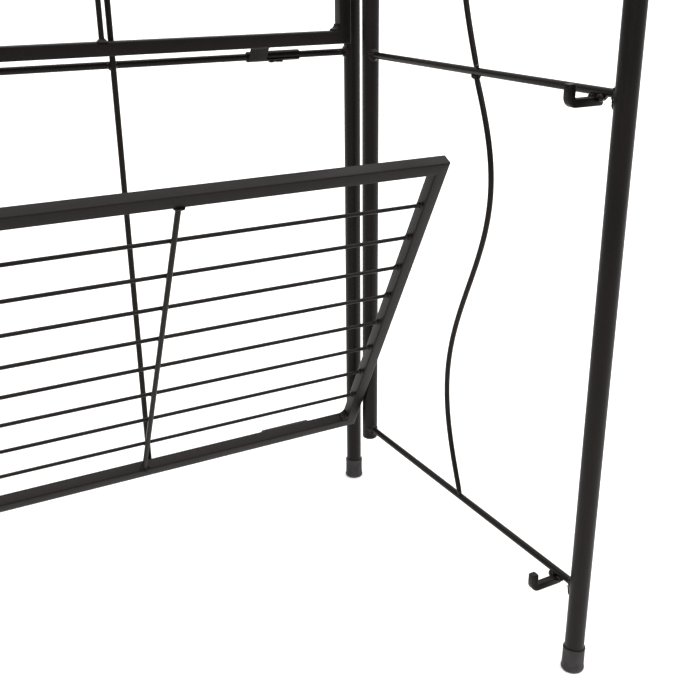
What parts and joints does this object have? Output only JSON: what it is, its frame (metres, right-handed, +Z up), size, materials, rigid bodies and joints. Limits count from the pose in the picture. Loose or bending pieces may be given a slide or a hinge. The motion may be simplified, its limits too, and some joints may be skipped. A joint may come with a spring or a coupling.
{
  "type": "newspaper rack",
  "caption": "Fold-flat black steel newspaper rack with hinged wire shelves that turn up against a back frame between two swinging side frames.",
  "frame": {"origin": "on the floor, in the middle of the four feet", "axes": "+Z up, -Y to the front of the rack, +X to its right"},
  "size_m": [0.5842, 0.3166, 0.9997],
  "materials": {
    "black_powder_coat": "satin black polyester powder coat on steel tube, with a faint orange peel",
    "foot_rubber": "matte black moulded rubber"
  },
  "bodies": {
    "back_frame": {"back_frame_tube": "black_powder_coat", "hinge_rod_lower": "black_powder_coat", "hinge_rod_middle": "black_powder_coat", "hinge_rod_upper": "black_powder_coat", "back_upright_left": "black_powder_coat", "back_upright_right": "black_powder_coat", "back_foot_left": "foot_rubber", "back_foot_right": "foot_rubber", "leg_strap_lower_left": "black_powder_coat", "leg_strap_upper_left": "black_powder_coat", "leg_strap_lower_right": "black_powder_coat", "leg_strap_upper_right": "black_powder_coat"},
    "side_frame_left": {"side_frame_tube_left": "black_powder_coat", "rear_leg_plug_left": "black_powder_coat", "rear_leg_collar_left": "black_powder_coat", "front_foot_left": "foot_rubber", "side_rail_lower_left": "black_powder_coat", "wave_rod_lower_left": "black_powder_coat", "hook_lower_left": "black_powder_coat", "side_rail_middle_left": "black_powder_coat", "wave_rod_middle_left": "black_powder_coat", "hook_middle_left": "black_powder_coat", "side_rail_upper_left": "black_powder_coat", "wave_rod_upper_left": "black_powder_coat", "hook_upper_left": "black_powder_coat"},
    "side_frame_right": {"side_frame_tube_right": "black_powder_coat", "rear_leg_plug_right": "black_powder_coat", "rear_leg_collar_right": "black_powder_coat", "front_foot_right": "foot_rubber", "side_rail_lower_right": "black_powder_coat", "wave_rod_lower_right": "black_powder_coat", "hook_lower_right": "black_powder_coat", "side_rail_middle_right": "black_powder_coat", "wave_rod_middle_right": "black_powder_coat", "hook_middle_right": "black_powder_coat", "side_rail_upper_right": "black_powder_coat", "wave_rod_upper_right": "black_powder_coat", "hook_upper_right": "black_powder_coat"},
    "lower_shelf": {"lower_shelf_rear_tube": "black_powder_coat", "lower_shelf_front_tube": "black_powder_coat", "lower_shelf_left_tube": "black_powder_coat", "lower_shelf_right_tube": "black_powder_coat", "lower_shelf_clip_left": "black_powder_coat", "lower_shelf_clip_right": "black_powder_coat", "lower_shelf_grille": "black_powder_coat"},
    "middle_shelf": {"middle_shelf_rear_tube": "black_powder_coat", "middle_shelf_front_tube": "black_powder_coat", "middle_shelf_left_tube": "black_powder_coat", "middle_shelf_right_tube": "black_powder_coat", "middle_shelf_clip_left": "black_powder_coat", "middle_shelf_clip_right": "black_powder_coat", "middle_shelf_grille": "black_powder_coat"},
    "upper_shelf": {"upper_shelf_rear_tube": "black_powder_coat", "upper_shelf_front_tube": "black_powder_coat", "upper_shelf_left_tube": "black_powder_coat", "upper_shelf_right_tube": "black_powder_coat", "upper_shelf_clip_left": "black_powder_coat", "upper_shelf_clip_right": "black_powder_coat", "upper_shelf_grille": "black_powder_coat"}
  },
  "joints": [
    {"name": "lower_shelf_hinge", "type": "hinge", "parent": "back_frame", "child": "lower_shelf", "pos_m": [0, 0.15065, 0.0626], "axis": [-1, 0, 0], "range_deg": [-58.8, 28.2]},
    {"name": "middle_shelf_hinge", "type": "hinge", "parent": "back_frame", "child": "middle_shelf", "pos_m": [0, 0.15065, 0.3729], "axis": [-1, 0, 0], "range_deg": [-87, 0]},
    {"name": "upper_shelf_hinge", "type": "hinge", "parent": "back_frame", "child": "upper_shelf", "pos_m": [0, 0.15065, 0.6832], "axis": [-1, 0, 0], "range_deg": [-87, 0]},
    {"name": "side_frame_left_hinge", "type": "hinge", "parent": "back_frame", "child": "side_frame_left", "pos_m": [-0.2828, 0.11885, 0.456], "axis": [0, 0, 1], "range_deg": [0, 30]},
    {"name": "side_frame_right_hinge", "type": "hinge", "parent": "back_frame", "child": "side_frame_right", "pos_m": [0.2828, 0.11885, 0.456], "axis": [0, 0, -1], "range_deg": [0, 30]}
  ]
}
